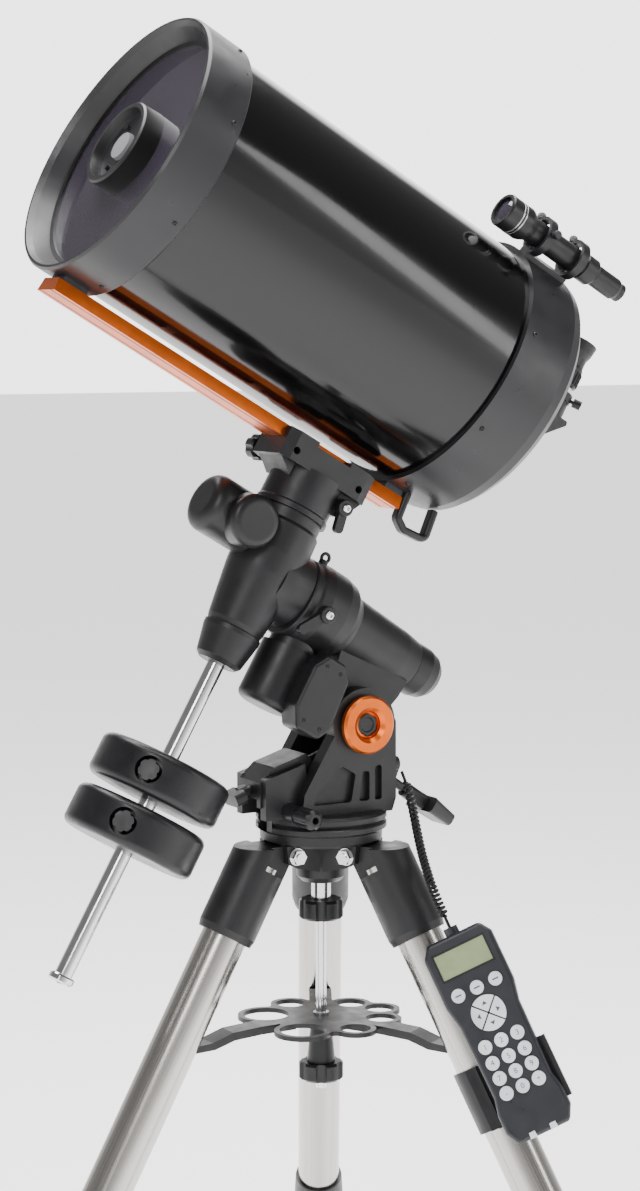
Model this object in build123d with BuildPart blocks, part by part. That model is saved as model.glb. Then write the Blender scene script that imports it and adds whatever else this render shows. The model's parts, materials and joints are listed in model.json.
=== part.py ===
"""Schmidt-Cassegrain telescope on a German equatorial mount and a steel tripod.

Millimetres, +Z up. The origin is the point on the floor under the tripod's centre, and -X is north,
the side that the polar axis and the telescope's front point to. The mount's head is drawn in the HEAD
frame, whose Z is the polar axis and whose X is the declination axis, the parts turned about the
declination axis in the DEC frame, and the telescope in the TUBE frame, whose Z is the optical axis.
Each leg is drawn in its own frame, with Z down the leg, and the hand control in the HAND frame.
"""

import os
from math import cos, radians, sin

from build123d import *

os.makedirs("parts", exist_ok=True)

# ---------------------------------------------------------------- driving dimensions
LATITUDE = 30.0  # tilt of the polar axis above the horizon, degrees
AXES_CROSS = (-80.0, 0.0, 998.0)  # where the polar and declination axes cross
TUBE_OFFSET = 325.0  # polar axis to optical axis
PIVOT_X, PIVOT_Z = -90.0, -178.0  # latitude pivot, in the HEAD frame

TRIPOD_TOP = 711.0  # where the mount's base sits
LEG_SPLAY = 29.0  # degrees from the vertical
LEG_TOP_RADIUS, LEG_TOP_Z = 70.0, 700.0  # start of each leg's axis
LEG_ANGLES = {"north": 180.0, "right": -60.0, "rear": 60.0}
LEG_TUBE_R, EXTENSION_R, LEG_WALL = 25.4, 19.05, 1.3
COLLAR_R, COLLAR_END = 33.0, 112.0
TUBE_START, TUBE_END = 24.0, 610.0  # outer leg tube, along the leg
CLAMP_START, CLAMP_END = 560.0, 645.0
EXTENSION_START = 100.0
LEG_PIVOT_X, LEG_PIVOT_Z = -23.3, 0.8  # the bolt at the top of the leg, in the leg's frame
ROD_R, SLEEVE_R, ROD_END = 6.0, 11.0, 418.0
TRAY_Z = 495.0
TRAY_HOLES = (  # radius, distance out, angle
    (26, 62, 149), (26, 70, 223), (17, 60, 95), (17, 60, 25), (17, 72, -8), (17, 69, -43), (17, 71, -88),
)
ROD_KNOB_Z, TRAY_KNOB_Z = 609.0, 428.0

FIT = 0.06  # radial clearance of parts that are fastened in one another
RUN = 0.3  # radial clearance of parts that turn or slide
GAP = 0.4  # end clearance of parts that turn or slide

OPTICS_R = 137.5  # clear radius of the corrector
CORRECTOR_BACK, CORRECTOR_FRONT = 362.0, 368.0
CELL_R, SHELL_R, SHELL_WALL = 160.0, 152.0, 2.0
CELL_FRONT, CELL_BACK = 394.0, 334.0
REAR_FRONT, REAR_EDGE, REAR_BACK = -84.0, -150.0, -186.0
RAIL_BOTTOM, RAIL_TOP = -180.0, -165.0  # across the rail, in the TUBE frame
RAIL_HALF_BOTTOM, RAIL_HALF_TOP = 22.0, 18.0
RAIL_FRONT, RAIL_REAR = 384.0, -112.0
FINDER_ANGLE, FINDER_DISTANCE = 28.0, 187.0
DIAGONAL_Z = -250.0  # eyepiece axis behind the declination axis

WEIGHT_R, WEIGHT_THICK = 76.0, 48.0
WEIGHT_PLACES = {"upper": -226.0, "lower": -286.0}  # upper face of each weight
SHAFT_R, SHAFT_END = 10.0, -478.0
WEIGHT_LOCK_ANGLE = 50.0

HAND_LENGTH, HAND_WIDTH, HAND_DEPTH = 226.0, 84.0, 28.0
HAND_TURN = 63.7  # about the leg, so that the keys face sideways from it
HAND_PLACE = (38.0, 240.0, 42.0)  # across the leg, down the leg, back of the hand control
CORD_R = 5.5
CORD_ROUTE = (
    (84.0, -37.0, 772.0),
    (89.0, -46.0, 750.0),
    (78.0, -75.0, 722.0),
    (64.0, -112.0, 690.0),
)

UP = (Align.CENTER, Align.CENTER, Align.MIN)
DOWN = (Align.CENTER, Align.CENTER, Align.MAX)

# ---------------------------------------------------------------- frames
lat = radians(LATITUDE)
HEAD = Plane(origin=AXES_CROSS, x_dir=(sin(lat), 0, cos(lat)), z_dir=(-cos(lat), 0, sin(lat)))
DEC = Plane(origin=AXES_CROSS, x_dir=HEAD.z_dir, z_dir=HEAD.x_dir)  # its Y is the world's -Y
TUBE = Plane(origin=HEAD.from_local_coords((TUBE_OFFSET, 0, 0)), x_dir=HEAD.x_dir, z_dir=HEAD.z_dir)
PIVOT = HEAD.from_local_coords((PIVOT_X, 0, PIVOT_Z))
SIDE = Plane.XZ  # its Z is -Y, so outlines on it are (x, z)


def leg_frame(angle):
    """The frame of the leg at this angle: Z down the leg, X outwards and up, Y round the tripod."""
    a, b = radians(angle), radians(LEG_SPLAY)
    return Plane(
        origin=(LEG_TOP_RADIUS * cos(a), LEG_TOP_RADIUS * sin(a), LEG_TOP_Z),
        x_dir=(cos(b) * cos(a), cos(b) * sin(a), sin(b)),
        z_dir=(sin(b) * cos(a), sin(b) * sin(a), -cos(b)),
    )


LEGS = {name: leg_frame(angle) for name, angle in LEG_ANGLES.items()}
right_leg, turned = LEGS["right"], radians(HAND_TURN)
hand_face = right_leg.x_dir * cos(turned) + right_leg.y_dir * sin(turned)
hand_across = right_leg.x_dir * sin(turned) - right_leg.y_dir * cos(turned)
HAND_ON_LEG = right_leg.from_local_coords((0, 0, HAND_PLACE[1]))
HAND = Plane(
    origin=HAND_ON_LEG + hand_across * HAND_PLACE[0] + hand_face * HAND_PLACE[2],
    x_dir=hand_across,
    z_dir=hand_face,
)  # Z out of the keys, X across to the right, Y up the leg


# ---------------------------------------------------------------- helpers
def finish(piece, label, frame=Plane.XY):
    """Moves a finished piece from its own frame to its place, labels it and writes its STEP file."""
    placed = piece.part.moved(frame.location)
    placed.label = label
    export_step(placed, f"parts/{label}.step")


def finish_group(solids, label):
    """Writes several separate solids, already in place, as one node."""
    export_step(Compound(children=list(solids), label=label), f"parts/{label}.step")


def on_legs(piece):
    """The same piece on all three legs."""
    return [piece.part.moved(frame.location) for frame in LEGS.values()]


def turn(*outline, mode=Mode.ADD):
    """Revolves a closed outline of (radius, height) points about Z, in the open part."""
    with BuildSketch(Plane.XZ) as profile:
        with BuildLine():
            Polyline(*outline, close=True)
        make_face()
    revolve(profile.sketch, axis=Axis.Z, mode=mode)


def rod(radius, start, end, mode=Mode.ADD):
    """A cylinder between two points, in the open part."""
    run = Vector(*end) - Vector(*start)
    with BuildSketch(Plane(origin=start, z_dir=run)) as section:
        Circle(radius)
    extrude(section.sketch, amount=run.length, mode=mode)


def plate(plane, outline, amount, both=False, corner=0, mode=Mode.ADD):
    """Extrudes a closed polygon drawn on a plane, in the open part."""
    with BuildSketch(plane) as profile:
        with BuildLine():
            Polyline(*outline, close=True)
        make_face()
        if corner:
            fillet(profile.vertices(), corner)
    extrude(profile.sketch, amount=amount, both=both, mode=mode)


def block(x, y, z, mode=Mode.ADD):
    """A box given by its extents along each axis, in the open part."""
    with Locations(((x[0] + x[1]) / 2, (y[0] + y[1]) / 2, (z[0] + z[1]) / 2)):
        Box(x[1] - x[0], y[1] - y[0], z[1] - z[0], mode=mode)


def star_knob(radius, height, lobes, bore):
    """A moulded knob with scalloped sides, standing on the XY plane, with a hole for its screw."""
    with BuildPart() as knob:
        Cylinder(radius, height, align=UP)
        chamfer(knob.edges().filter_by(GeomType.CIRCLE), height * 0.12)
        with PolarLocations(radius * 1.14, lobes):
            Cylinder(radius * 0.3, height, align=UP, mode=Mode.SUBTRACT)
        Cylinder(bore, height, align=UP, mode=Mode.SUBTRACT)
    return knob


# ================================================================ tripod
def radial_plane(angle):
    """The upright plane through the tripod's axis at this angle, drawn as (radius, height)."""
    a = radians(angle)
    return Plane(origin=(0, 0, 0), x_dir=(cos(a), sin(a), 0), z_dir=(sin(a), -cos(a), 0))


def level(height):
    """The horizontal plane at this height, facing up, in a leg's frame."""
    b = radians(LEG_SPLAY)
    return Plane(origin=(0, 0, (LEG_TOP_Z - height) / cos(b)), z_dir=(sin(b), 0, -cos(b)))


PEG_X, PEG_HALF = -60.0, 6.0

with BuildPart() as tripod_hub:
    turn((0, 652), (22, 652), (28, 658), (31, 699), (66, 699), (69, 702), (69, TRIPOD_TOP), (0, TRIPOD_TOP))
    for leg_angle in LEG_ANGLES.values():
        for side in (1, -1):
            lug = radial_plane(leg_angle).offset(side * 27)
            plate(lug, ((20, 668), (50, 675), (60, 680), (62, 700), (20, 700)), 4.5, both=True)
    block((PEG_X - 7, PEG_X + 7), (-PEG_HALF, PEG_HALF), (TRIPOD_TOP, 748))
    Cylinder(ROD_R + FIT, 800, align=UP, mode=Mode.SUBTRACT)
    for frame in LEGS.values():
        bolt_at = frame.from_local_coords((LEG_PIVOT_X, 0, LEG_PIVOT_Z))
        rod(5 + FIT, bolt_at - frame.y_dir * 60, bolt_at + frame.y_dir * 60, mode=Mode.SUBTRACT)
finish(tripod_hub, "tripod_hub")

with BuildPart() as leg_bolt:
    bolt_end = Plane(origin=(LEG_PIVOT_X, 0, LEG_PIVOT_Z), z_dir=(0, 1, 0))
    with BuildSketch(bolt_end.offset(-42)):
        Circle(5)
    extrude(amount=84)
    for end in (bolt_end.offset(31.6), bolt_end.rotated((180, 0, 0)).offset(31.6)):
        with BuildSketch(end):
            Circle(9.5)
        extrude(amount=1.6)
        with BuildSketch(end.offset(1.6)):
            RegularPolygon(8.5, 6)
        extrude(amount=7)
finish_group(on_legs(leg_bolt), "leg_pivot_bolts")

with BuildPart() as leg_collar:
    turn((0, -34), (29, -34), (COLLAR_R, -26), (COLLAR_R, 104), (COLLAR_R - 2, COLLAR_END), (0, COLLAR_END))
    split(bisect_by=level(698.5), keep=Keep.BOTTOM)
    for side in (1, -1):
        edges = (side * 21.5, side * 40)
        block((-60, 6), (min(edges), max(edges)), (-60, 30), mode=Mode.SUBTRACT)
    block((-60, -33), (-30, 30), (-60, 60), mode=Mode.SUBTRACT)
    with Locations((0, 0, TUBE_START)):
        Cylinder(LEG_TUBE_R + FIT, 200, align=UP, mode=Mode.SUBTRACT)
    rod(5 + FIT, (LEG_PIVOT_X, -30, LEG_PIVOT_Z), (LEG_PIVOT_X, 30, LEG_PIVOT_Z), mode=Mode.SUBTRACT)
collars = on_legs(leg_collar)
with BuildPart() as hub_room:
    turn((0, 640), (25, 640), (32, 660), (32, 700), (0, 700))
finish_group([collar - hub_room.part for collar in collars], "leg_collars")

with BuildPart() as leg_tube:
    with Locations((0, 0, TUBE_START)):
        Cylinder(LEG_TUBE_R, TUBE_END - TUBE_START, align=UP)
        Cylinder(LEG_TUBE_R - LEG_WALL, TUBE_END - TUBE_START, align=UP, mode=Mode.SUBTRACT)
finish_group(on_legs(leg_tube), "leg_tubes")

LOCK_Z = 627.0
with BuildPart() as leg_clamp:
    turn(
        (LEG_TUBE_R + FIT, CLAMP_START), (28.4, CLAMP_START), (29, 562), (31, 606), (31, 640),
        (28, CLAMP_END), (EXTENSION_R + RUN, CLAMP_END), (EXTENSION_R + RUN, TUBE_END),
        (LEG_TUBE_R + FIT, TUBE_END),
    )
    rod(12, (24, 0, LOCK_Z), (41, 0, LOCK_Z))
    Cylinder(EXTENSION_R + RUN, 700, align=UP, mode=Mode.SUBTRACT)
    with Locations((0, 0, CLAMP_START)):
        Cylinder(LEG_TUBE_R + FIT, TUBE_END - CLAMP_START, align=UP, mode=Mode.SUBTRACT)
    rod(4 + RUN, (0, 0, LOCK_Z), (60, 0, LOCK_Z), mode=Mode.SUBTRACT)
finish_group(on_legs(leg_clamp), "leg_clamps")

with BuildPart() as leg_lock:
    with BuildSketch(Plane(origin=(41 + GAP, 0, LOCK_Z), z_dir=(1, 0, 0))):
        Circle(17)
        with PolarLocations(19.5, 5):
            Circle(5.5, mode=Mode.SUBTRACT)
    extrude(amount=15)
    chamfer(leg_lock.faces().sort_by(Axis.X)[-1].edges(), 1.2)
    rod(4, (LEG_TUBE_R, 0, LOCK_Z), (42, 0, LOCK_Z))

with BuildPart() as leg_extension:
    with Locations((0, 0, EXTENSION_START)):
        Cylinder(EXTENSION_R, 772 - EXTENSION_START, align=UP)
        Cylinder(LEG_TUBE_R - LEG_WALL - RUN, 16, align=UP)
        Cylinder(EXTENSION_R - LEG_WALL, 772 - EXTENSION_START, align=UP, mode=Mode.SUBTRACT)

with BuildPart() as foot:
    turn((0, 732), (22.5, 732), (23.5, 736), (23.5, 770), (27, 780), (29, 800), (29, 825), (0, 825))
    split(bisect_by=level(0), keep=Keep.TOP)
    with Locations((0, 0, 700)):
        Cylinder(EXTENSION_R + FIT, 72, align=UP, mode=Mode.SUBTRACT)

for leg_name, frame in LEGS.items():
    finish(leg_extension, f"leg_extension_{leg_name}", frame)
    finish(foot, f"foot_{leg_name}", frame)
    finish(leg_lock, f"leg_lock_{leg_name}", frame)

with BuildPart() as central_rod:
    with Locations((0, 0, ROD_END)):
        Cylinder(ROD_R, 726 - ROD_END, align=UP)
    with Locations((0, 0, ROD_KNOB_Z + 22 + GAP)):
        Cylinder(SLEEVE_R, 651.5 - ROD_KNOB_Z - 22 - GAP, align=UP)
    with Locations((0, 0, TRAY_Z + 5 + FIT)):
        Cylinder(9, 3, align=UP)
finish(central_rod, "central_rod")

finish(star_knob(25, 22, 6, ROD_R + RUN), "rod_knob", Plane.XY.offset(ROD_KNOB_Z))

tray_star = star_knob(25, 20, 6, ROD_R + RUN)
with BuildPart() as tray_knob:
    add(tray_star.part)
    with Locations((0, 0, 20)):
        Cone(16, 12, TRAY_Z - 8 - GAP - TRAY_KNOB_Z - 20, align=UP)
    Cylinder(ROD_R + RUN, 200, align=UP, mode=Mode.SUBTRACT)
finish(tray_knob, "tray_knob", Plane.XY.offset(TRAY_KNOB_Z))

with BuildPart() as accessory_tray:
    with BuildSketch(Plane.XY.offset(TRAY_Z)) as tray_web:
        Circle(62)
        for hole_r, distance, angle in TRAY_HOLES:
            with PolarLocations(distance, 1, start_angle=angle):
                Circle(hole_r + 6)
        offset(amount=7)
        offset(amount=-7)
    extrude(amount=5)
    for leg_angle in LEG_ANGLES.values():
        plate(radial_plane(leg_angle), ((40, 491), (40, 500), (84, 500), (120, 498), (146, 490), (172, 488),
                                        (172, 481), (142, 482), (118, 489), (84, 491)), 13, both=True)
    with Locations((0, 0, TRAY_Z + 5)):
        Cylinder(18, 13, align=DOWN)
    for hole_r, distance, angle in TRAY_HOLES:
        with PolarLocations(distance, 1, start_angle=angle):
            Cylinder(hole_r, 1200, mode=Mode.SUBTRACT)
    Cylinder(ROD_R + FIT, 1200, mode=Mode.SUBTRACT)
    for frame in LEGS.values():
        rod(
            LEG_TUBE_R + FIT, frame.from_local_coords((0, 0, 100)), frame.from_local_coords((0, 0, 400)),
            mode=Mode.SUBTRACT,
        )
        with Locations(Plane(origin=frame.from_local_coords((4, 0, 240)), x_dir=frame.x_dir, z_dir=frame.z_dir)):
            Box(60, 120, 200, align=(Align.MIN, Align.CENTER, Align.CENTER), mode=Mode.SUBTRACT)
finish(accessory_tray, "accessory_tray")


# ================================================================ mount base, turns in azimuth
CHEEK_IN, CHEEK_OUT, RING_OUT = 28.0, 46.0, 59.0
FRONT_SCREW = ((-104.0, 0.0, 756.9), (5.0, 0.0, 796.0))  # handle end, tip
REAR_SCREW = ((128.0, 0.0, 731.8), (38.5, 0.0, 796.4))
AZIMUTH_SCREW_Z = 738.0
PORT = (78.0, -36.0, 782.0)

with BuildPart() as mount_base:
    turn((0, TRIPOD_TOP + 0.2), (70, TRIPOD_TOP + 0.2), (74, 714), (74, 719), (71, 722),
         (74, 725), (74, 730),
         (70, 733), (0, 733))
    for side in (1, -1):
        cheek = SIDE.offset(side * (CHEEK_IN + CHEEK_OUT) / 2)
        thick = (CHEEK_OUT - CHEEK_IN) / 2
        plate(cheek, ((-52, 731), (-48, 758), (-6, 826), (0, 850), (62, 850), (71, 831), (71, 745),
                      (66, 731)), thick, both=True)
        with BuildSketch(cheek):
            with Locations((PIVOT.X, PIVOT.Z)):
                Circle(40)
        extrude(amount=thick, both=True)
        pocket = SIDE.offset(side * CHEEK_OUT)
        plate(pocket, ((-38, 745), (-34, 757), (0, 786), (18, 776), (12, 745)), 7, both=True, corner=4,
              mode=Mode.SUBTRACT)
        plate(pocket, ((22, 745), (27, 778), (36, 778),
              (36, 745)), 7, both=True, corner=3, mode=Mode.SUBTRACT)
        plate(pocket, ((43, 745), (43, 782), (52, 785),
              (52, 745)), 7, both=True, corner=3, mode=Mode.SUBTRACT)
        rod(23, (PIVOT.X, side * CHEEK_OUT, PIVOT.Z), (PIVOT.X, side * (CHEEK_OUT + 3), PIVOT.Z))
    block((-60, 72), (-CHEEK_IN, CHEEK_IN), (731, 752))
    plate(SIDE, ((-92, 744), (-92, 772), (-74, 788), (-34, 800), (-22, 788), (-30, 752), (-60, 744)), 24,
          both=True)
    for side in (1, -1):
        plate(SIDE.offset(side * 27), ((-90, 731), (-90, 776), (-40, 790), (-30, 731)), 6, both=True)
        rod(10, (PEG_X, side * 24, AZIMUTH_SCREW_Z), (PEG_X, side * 54, AZIMUTH_SCREW_Z))
    plate(SIDE, ((56, 752), (66, 800), (78, 794), (90, 772), (82, 752)), 22, both=True)
    rod(8, (60, PORT[1], PORT[2]), PORT)
    turn((0, 700), (0, TRIPOD_TOP + 0.2), (90, TRIPOD_TOP + 0.2), (90, 700), mode=Mode.SUBTRACT)
    with BuildSketch(SIDE) as lug_room:
        with Locations((PIVOT.X, PIVOT.Z)):
            Circle(34)
    extrude(amount=CHEEK_IN, both=True, mode=Mode.SUBTRACT)
    block((-110, PEG_X + 15), (-16, 16), (700, 753), mode=Mode.SUBTRACT)
    for ends in (FRONT_SCREW, REAR_SCREW):
        along = (Vector(*ends[1]) - Vector(*ends[0])).normalized()
        rod(5 + RUN, Vector(*ends[0]) - along * 20, Vector(*ends[1]) + along * 20, mode=Mode.SUBTRACT)
    rod(5 + RUN, (PEG_X, -60, AZIMUTH_SCREW_Z), (PEG_X, 60, AZIMUTH_SCREW_Z), mode=Mode.SUBTRACT)
    with Locations((0, 0, 700)):
        Cylinder(ROD_R + 1, 27, align=UP, mode=Mode.SUBTRACT)
    rod(15 + FIT, (PIVOT.X, -80, PIVOT.Z), (PIVOT.X, 80, PIVOT.Z), mode=Mode.SUBTRACT)
finish(mount_base, "mount_base")

rings = []
for side in (1, -1):
    with BuildPart() as latitude_cap:
        turn((15.5, 0), (31, 0), (32.5, 1.5), (32.5, 7), (30, 10), (20, 10), (15.5, 6))
        turn((0, -6), (15, -6), (15, 4), (13, 5), (13, 2), (0, 2))
    cap_place = Plane(
        origin=(PIVOT.X, side * (CHEEK_OUT + 3), PIVOT.Z), x_dir=(1, 0, 0), z_dir=(0, side, 0)
    )
    rings += [latitude_cap.part.solids()[i].moved(cap_place.location) for i in (0, 1)]
finish_group(rings, "latitude_caps")

azimuth_star = star_knob(11, 36, 5, 4)
for side, screw_name in ((-1, "left"), (1, "right")):
    with BuildPart() as azimuth_screw:
        rod(5, (PEG_X, side * 13, AZIMUTH_SCREW_Z), (PEG_X, side * 66, AZIMUTH_SCREW_Z))
        knob_face = Plane(origin=(PEG_X, side * (54 + GAP), AZIMUTH_SCREW_Z), z_dir=(0, side, 0))
        with Locations(knob_face):
            add(azimuth_star.part)
    finish(azimuth_screw, f"azimuth_screw_{screw_name}")


def handle_plane(ends, before):
    """Across a screw, at this distance before its handle end, facing away from the tip."""
    out = (Vector(*ends[0]) - Vector(*ends[1])).normalized()
    return Plane(origin=Vector(*ends[0]) + out * before, x_dir=(0, 1, 0), z_dir=out)


with BuildPart() as latitude_screw_front:
    rod(5, FRONT_SCREW[0], FRONT_SCREW[1])
    grip = handle_plane(FRONT_SCREW, 0)
    with BuildSketch(grip):
        RectangleRounded(34, 15, 6)
    extrude(amount=14)
    with BuildSketch(grip.offset(-8)):
        Circle(9)
    extrude(amount=10)
finish(latitude_screw_front, "latitude_screw_front")

with BuildPart() as latitude_screw_rear:
    rod(5, REAR_SCREW[0], REAR_SCREW[1])
    grip = handle_plane(REAR_SCREW, -22)
    with BuildSketch(grip):
        Circle(9)
    with BuildSketch(grip.offset(30)):
        RectangleRounded(24, 18, 5)
    loft()
    with BuildSketch(grip.offset(30)):
        RectangleRounded(56, 19, 6)
    with BuildSketch(grip.offset(66)):
        RectangleRounded(44, 15, 6)
    loft()
finish(latitude_screw_rear, "latitude_screw_rear")

# ================================================================ polar housing, turns in latitude
LUG_R = 30.0
with BuildPart() as polar_housing:
    turn((0, -47), (46, -47), (47.5, -49), (47.5, -56), (49, -60), (50.5, -72), (50, -96),
         (47, -110), (41, -118),
         (38, -123), (33, -200), (30, -222), (0, -222))
    plate(Plane.XZ, ((-20, -120), (-58, -128), (PIVOT_X + 12, PIVOT_Z + 27),
          (PIVOT_X + 12, PIVOT_Z - 27), (-40, -216), (-20, -218)), 25.5, both=True)
    with BuildSketch(Plane.XZ):
        with Locations((PIVOT_X, PIVOT_Z)):
            Circle(LUG_R)
    extrude(amount=25.5, both=True)
    rod(27, (-30, 0, -76), (-54, 0, -76))
    rod(5.5, (44, 0, -66), (54, 0, -66))
    with Locations((57, 0, -66)):
        Torus(5, 2, rotation=(90, 0, 0))
    rod(14 + FIT, (PIVOT_X, -40, PIVOT_Z), (PIVOT_X, 40, PIVOT_Z), mode=Mode.SUBTRACT)
    with Locations((0, 0, -230)):
        Cylinder(22, 30, align=UP, mode=Mode.SUBTRACT)
    rod(5 + RUN, (-8, -30, -68), (-8, -60, -68), mode=Mode.SUBTRACT)
finish(polar_housing, "polar_housing", HEAD)

with BuildPart() as ra_motor_cover:
    with Locations(Plane(origin=(-54 - FIT, 0, -76), z_dir=(-1, 0, 0))):
        Cylinder(33, 70, align=UP)
    fillet(ra_motor_cover.faces().sort_by(Axis.X)[0].edges(), 9)
    plate(Plane.XZ.offset(26), ((-46, -92), (-64, -80), (-112, -80), (-134, -94), (-134, -124),
          (-118, -134),
          (-62, -130), (-46, -116)), 34, corner=7)
    fillet(ra_motor_cover.faces().sort_by(Axis.Y)[0].edges(), 4)
    turn((0, -40), (51.5, -40), (51.5, -111), (42, -119), (39, -124), (34, -200), (34, -240), (0, -240),
         mode=Mode.SUBTRACT)
    block((-130, 0), (-26.2, 26.2), (-240, -113), mode=Mode.SUBTRACT)
finish(ra_motor_cover, "ra_motor_cover", HEAD)

with BuildPart() as polar_scope_cap:
    turn((0, -222 - GAP), (30, -222 - GAP), (30, -240), (27, -252), (21, -260), (12, -262), (0, -262))
    turn((0, -224), (0, -204), (21.5, -204), (21.5, -224))
finish(polar_scope_cap, "polar_scope_cap", HEAD)


def clutch_lever(length):
    """A small cranked lever standing on XY, its arm along X, with a screw stem below."""
    with BuildPart() as lever:
        Cylinder(5, 14, align=DOWN)
        Cylinder(9.5, 10, align=UP)
        with BuildSketch():
            SlotCenterPoint((length / 2, 0), (length, 0), 11)
        extrude(amount=7)
        fillet(lever.faces().filter_by(Axis.Z).sort_by(Axis.Z)[-1].edges(), 1.5)
    return lever


lever_arm = Vector(-0.75, 0, 0.55)
RA_LEVER = Plane(origin=(-8, -51, -68), x_dir=lever_arm, z_dir=(0, -1, 0))
finish(clutch_lever(34), "ra_clutch_lever", Plane(HEAD.location * RA_LEVER.location))

# ================================================================ declination housing, turns in right ascension
with BuildPart() as dec_housing:
    turn((0, -66), (31.5, -66), (33.5, -60), (42, 4), (43, 30), (42, 62), (39, 66),
         (39, 78 - GAP), (0, 78 - GAP))
    rod(43, (-47 + GAP, 0, 4), (-8, 0, 4))
    turn((0, -108), (22, -108), (27, -103), (33.5, -72), (33.5, -67), (32, -66), (0, -66))
    rod(31, (20, 0, 42), (52, 0, 42))
    with Locations((0, 0, -120)):
        Cylinder(SHAFT_R + FIT, 50, align=UP, mode=Mode.SUBTRACT)
    with Locations((0, 0, 30)):
        Cylinder(26, 60, align=UP, mode=Mode.SUBTRACT)
finish(dec_housing, "dec_housing", DEC)

with BuildPart() as dec_motor_cover:
    with Locations(Plane(origin=(40, 0, 42), z_dir=(1, 0, 0))):
        Cylinder(34, 68, align=UP)
    fillet(dec_motor_cover.faces().sort_by(Axis.X)[-1].edges(), 15)
    with Locations(Plane(origin=(58, 0, 42), z_dir=(0, 1, 0))):
        Cylinder(30, 50, align=UP)
    fillet(dec_motor_cover.faces().sort_by(Axis.Y)[-1].edges(), 10)
    turn((0, -60), (34, -60), (42.1, 4), (43.1, 30), (43.1, 100), (0, 100), mode=Mode.SUBTRACT)
    rod(31 + FIT, (10, 0, 42), (52 + FIT, 0, 42), mode=Mode.SUBTRACT)
finish(dec_motor_cover, "dec_motor_cover", DEC)

with BuildPart() as counterweight_shaft:
    with Locations((0, 0, SHAFT_END)):
        Cylinder(SHAFT_R, -71 - SHAFT_END, align=UP)
        Cylinder(4 + RUN, 22, align=UP, mode=Mode.SUBTRACT)
    chamfer(counterweight_shaft.edges().sort_by(Axis.Z)[-1], 1)
finish(counterweight_shaft, "counterweight_shaft", DEC)

with BuildPart() as shaft_end_screw:
    with Locations((0, 0, SHAFT_END + 20)):
        Cylinder(4, 30, align=DOWN)
    turn((0, SHAFT_END - GAP), (13, SHAFT_END - GAP), (14.5, SHAFT_END - 2), (14.5, SHAFT_END - 7),
         (13, SHAFT_END - 9), (0, SHAFT_END - 9))
finish(shaft_end_screw, "shaft_end_screw", DEC)

for weight_name, top in WEIGHT_PLACES.items():
    with BuildPart() as counterweight:
        with Locations((0, 0, top)):
            Cylinder(WEIGHT_R, WEIGHT_THICK, align=DOWN)
        fillet(counterweight.edges().filter_by(GeomType.CIRCLE), 9)
        with Locations((0, 0, top)):
            Cylinder(SHAFT_R + RUN, WEIGHT_THICK, align=DOWN, mode=Mode.SUBTRACT)
        lock_dir = Vector(1, 0, 0).rotate(Axis.Z, WEIGHT_LOCK_ANGLE)
        middle = Vector(0, 0, top - WEIGHT_THICK / 2)
        rod(15, middle + lock_dir * 56, middle + lock_dir * 90, mode=Mode.SUBTRACT)
        rod(4 + RUN, middle, middle + lock_dir * 60, mode=Mode.SUBTRACT)
    finish(counterweight, f"counterweight_{weight_name}", DEC)
    with BuildPart() as weight_lock:
        rod(4, middle + lock_dir * (SHAFT_R + 2 * RUN), middle + lock_dir * 62)
        with BuildSketch(Plane(origin=middle + lock_dir * (56 + GAP), z_dir=lock_dir)):
            Circle(11.5)
            with PolarLocations(13.3, 6):
                Circle(3.2, mode=Mode.SUBTRACT)
        extrude(amount=18)
    finish(weight_lock, f"weight_lock_{weight_name}", DEC)

# ================================================================ saddle, turns in declination
with BuildPart() as saddle:
    turn((0, 64), (25.5, 64), (25.5, 78), (43, 78), (43, 84), (41.5, 86), (41.5, 128), (0, 128))
    plate(Plane.XY.offset(124), ((-62, -30), (-50, -36), (50, -36), (62, -30), (62, 30), (50, 36),
          (-50, 36),
          (-62, 30)), 34)
    plate(Plane.XZ, ((-62, 146), (-64, 128), (-50, 104), (-42, 98), (-30, 96), (-30, 146)), 26, both=True)
    rod(10, (-41, 20, 110), (-41, 28, 110))
    plate(Plane.XZ, ((62, 146), (62, 128), (46, 118), (36, 110), (36, 146)), 26, both=True)
    with BuildSketch(Plane.YZ) as rail_room:
        with BuildLine():
            Polyline((-22.2, 144.8), (22.2, 144.8), (18.2, 160.2), (-18.2, 160.2), close=True)
        make_face()
    extrude(amount=80, both=True, mode=Mode.SUBTRACT)
    block((-24, 24), (-50, 50), (152, 170), mode=Mode.SUBTRACT)
    for along in (-46, 46):
        rod(4 + RUN, (along, -50, 136), (along, 50, 136), mode=Mode.SUBTRACT)
    rod(5 + RUN, (-41, 10, 110), (-41, 50, 110), mode=Mode.SUBTRACT)
finish(saddle, "saddle", DEC)
DEC_LEVER = Plane(origin=(-41, 28 + GAP, 110), x_dir=(-0.2, 0, -1), z_dir=(0, 1, 0))
finish(clutch_lever(24), "dec_clutch_lever", Plane(DEC.location * DEC_LEVER.location))

saddle_star = star_knob(15, 17, 6, 3)
for knob_name, along, side in (("front", 46, -1), ("rear", -46, -1)):
    with BuildPart() as saddle_knob:
        rod(4, (along, side * 24, 136), (along, side * 44, 136))
        with Locations(Plane(origin=(along, side * (36 + GAP), 136), z_dir=(0, side, 0))):
            Cylinder(9, 6, align=UP)
        with Locations(Plane(origin=(along, side * (42 + GAP), 136), z_dir=(0, side, 0))):
            add(saddle_star.part)
            Cylinder(3.5, 17, align=UP)
    finish(saddle_knob, f"saddle_knob_{knob_name}", DEC)

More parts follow.
